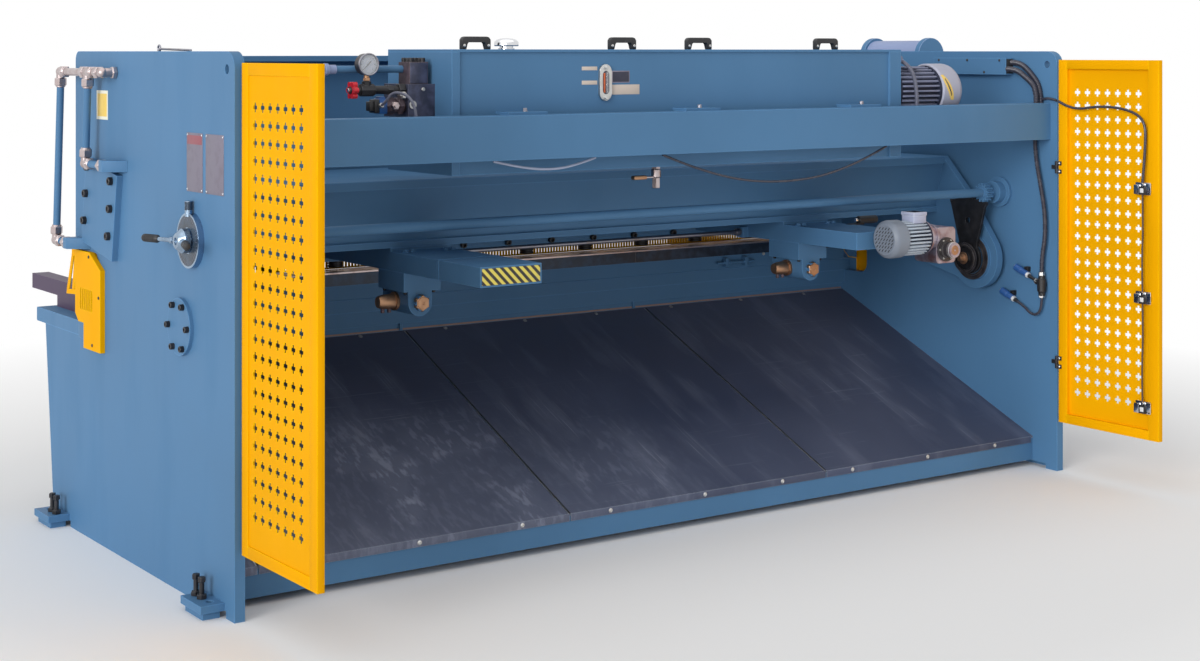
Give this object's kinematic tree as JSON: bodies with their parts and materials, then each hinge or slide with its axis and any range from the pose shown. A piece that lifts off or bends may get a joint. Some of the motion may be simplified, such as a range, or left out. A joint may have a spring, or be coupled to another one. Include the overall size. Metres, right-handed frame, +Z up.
{
  "type": "guillotine shear",
  "caption": "Hydraulic swing-beam plate shear with welded side frames, oil tank across the rear, motor-driven back gauge, chip slide and hinged perforated rear doors.",
  "frame": {"origin": "on the floor at the centre of the four foot anchor holes", "axes": "+X along the bed towards the operator's right-hand side frame, +Y to the rear, +Z up"},
  "size_m": [3.6211, 2.346, 1.635],
  "materials": {
    "blue_paint": "satin",
    "yellow_paint": "satin",
    "slide_steel": "satin",
    "blade_steel": "polished",
    "bright_steel": "satin",
    "black_steel": "satin",
    "dark_block": "satin",
    "motor_grey": "matte",
    "motor_light": "matte",
    "gear_cast": "satin",
    "chrome": "polished",
    "red_plastic": "gloss",
    "black_plastic": "matte",
    "switch_blue": "gloss",
    "grey_paint": "satin",
    "sight_plastic": "gloss"
  },
  "bodies": {
    "frame": {"base_beam": "blue_paint", "bed_back_plate": "blue_paint", "cable_duct": "blue_paint", "chip_slide": "slide_steel", "conduits": "black_plastic", "finger_guard": "yellow_paint", "foot_plates": "blue_paint", "front_apron": "blue_paint", "front_beam": "blue_paint", "gap_dial": "bright_steel", "gauge_shutoff": "bright_steel", "hinge_leaves": "bright_steel", "hold_down_cylinders": "blue_paint", "knife_block": "blue_paint", "lid_fittings": "black_plastic", "lower_blade": "blade_steel", "main_cylinders": "blue_paint", "manifold_block": "dark_block", "oil_pipes": "blue_paint", "oil_tank": "blue_paint", "pipe_fittings": "bright_steel", "pressure_gauge": "chrome", "pump_motor": "motor_grey", "rear_channel": "blue_paint", "return_accumulator": "grey_paint", "shaft_bearings": "blue_paint", "side_cover_plates": "blue_paint", "side_frame_left": "blue_paint", "side_frame_right": "blue_paint", "side_guards": "yellow_paint", "sight_glass": "sight_plastic", "solenoid_valve": "black_steel", "stroke_switches": "switch_blue", "support_arms": "black_steel", "table_plate": "blue_paint", "tank_feet": "blue_paint", "tank_lid": "blue_paint", "valve_block": "black_steel"},
    "swing_beam": {"swing_beam": "blue_paint", "beam_arms": "blue_paint", "upper_blade": "blade_steel", "gauge_rails": "blue_paint", "gear_motor": "motor_light", "gearbox": "gear_cast"},
    "plungers": {"plungers": "bright_steel"},
    "hold_downs": {"hold_down_pads": "black_steel"},
    "gap_shaft": {"gap_shaft": "blue_paint", "gap_handle": "black_steel"},
    "gap_sector_right": {"gap_sector_right": "black_steel"},
    "gap_sector_left": {"gap_sector_left": "black_steel"},
    "door_right": {"door_right": "yellow_paint"},
    "door_left": {"door_left": "yellow_paint", "door_lead": "black_plastic"},
    "gauge_carriage_right": {"gauge_carriage_right": "blue_paint"},
    "gauge_carriage_left": {"gauge_carriage_left": "blue_paint"},
    "lead_screw_right": {"lead_screw_right": "bright_steel"},
    "lead_screw_left": {"lead_screw_left": "bright_steel"},
    "cross_shaft": {"cross_shaft": "bright_steel"},
    "shutoff_knob": {"shutoff_knob": "red_plastic"},
    "gauge_needle": {"gauge_needle": "black_plastic"}
  },
  "joints": [
    {"name": "beam_swing", "type": "hinge", "parent": "frame", "child": "swing_beam", "pos_m": [0, 0.395, 0.777], "axis": [1, 0, 0], "range_deg": [0, 4], "stiffness_Nm_per_rad": 90000, "springref_deg": -14.32},
    {"name": "plunger_stroke", "type": "slide", "parent": "frame", "child": "plungers", "axis": [0, -0.1599, -0.9871], "range_m": [0, 0.045]},
    {"name": "hold_down_stroke", "type": "slide", "parent": "frame", "child": "hold_downs", "axis": [0, 0, -1], "range_m": [0, 0.012], "stiffness_N_per_m": 20000, "springref_m": -0.012},
    {"name": "gap_turn", "type": "hinge", "parent": "frame", "child": "gap_shaft", "pos_m": [0, 0.475, 1.035], "axis": [1, 0, 0], "range_deg": [-45, 45]},
    {"name": "sector_right_turn", "type": "hinge", "parent": "frame", "child": "gap_sector_right", "pos_m": [1.6, 0.395, 0.777], "axis": [1, 0, 0], "range_deg": [-6.5, 6.5]},
    {"name": "sector_left_turn", "type": "hinge", "parent": "frame", "child": "gap_sector_left", "pos_m": [-1.6, 0.395, 0.777], "axis": [1, 0, 0], "range_deg": [-6.5, 6.5]},
    {"name": "door_right_swing", "type": "hinge", "parent": "frame", "child": "door_right", "pos_m": [1.642, 0.764, 0.868], "axis": [0, 0, 1], "range_deg": [0, 90]},
    {"name": "door_left_swing", "type": "hinge", "parent": "frame", "child": "door_left", "pos_m": [-1.642, 0.764, 0.868], "axis": [0, 0, 1], "range_deg": [-90, 0]},
    {"name": "gauge_travel", "type": "slide", "parent": "swing_beam", "child": "gauge_carriage_right", "axis": [0, 1, 0], "range_m": [-0.39, 0.26]},
    {"name": "gauge_travel_left", "type": "slide", "parent": "swing_beam", "child": "gauge_carriage_left", "axis": [0, 1, 0], "range_m": [-0.39, 0.26]},
    {"name": "screw_right_spin", "type": "hinge", "parent": "swing_beam", "child": "lead_screw_right", "pos_m": [0.814, 0.2, 0.893], "axis": [0, 1, 0], "continuous": true},
    {"name": "screw_left_spin", "type": "hinge", "parent": "swing_beam", "child": "lead_screw_left", "pos_m": [-0.854, 0.2, 0.893], "axis": [0, 1, 0], "continuous": true},
    {"name": "cross_shaft_spin", "type": "hinge", "parent": "swing_beam", "child": "cross_shaft", "pos_m": [0, -0.035, 0.887], "axis": [1, 0, 0], "continuous": true},
    {"name": "shutoff_turn", "type": "hinge", "parent": "frame", "child": "shutoff_knob", "pos_m": [1.18, 0.505, 1.462], "axis": [1, 0, 0], "range_deg": [0, 720]},
    {"name": "needle_turn", "type": "hinge", "parent": "frame", "child": "gauge_needle", "pos_m": [1.136, 0.52, 1.54], "axis": [0, 1, 0], "range_deg": [-270, 0]}
  ],
  "couplings": [
    {"joint": "plunger_stroke", "follows": "beam_swing", "m_per_rad": 0.64},
    {"joint": "sector_right_turn", "follows": "gap_turn", "ratio": -0.13677},
    {"joint": "sector_left_turn", "follows": "gap_turn", "ratio": -0.13677},
    {"joint": "gauge_travel_left", "follows": "gauge_travel", "ratio": 1},
    {"joint": "screw_right_spin", "follows": "gauge_travel", "rad_per_m": -628.32},
    {"joint": "screw_left_spin", "follows": "gauge_travel", "rad_per_m": -628.32},
    {"joint": "cross_shaft_spin", "follows": "gauge_travel", "rad_per_m": 628.32}
  ]
}
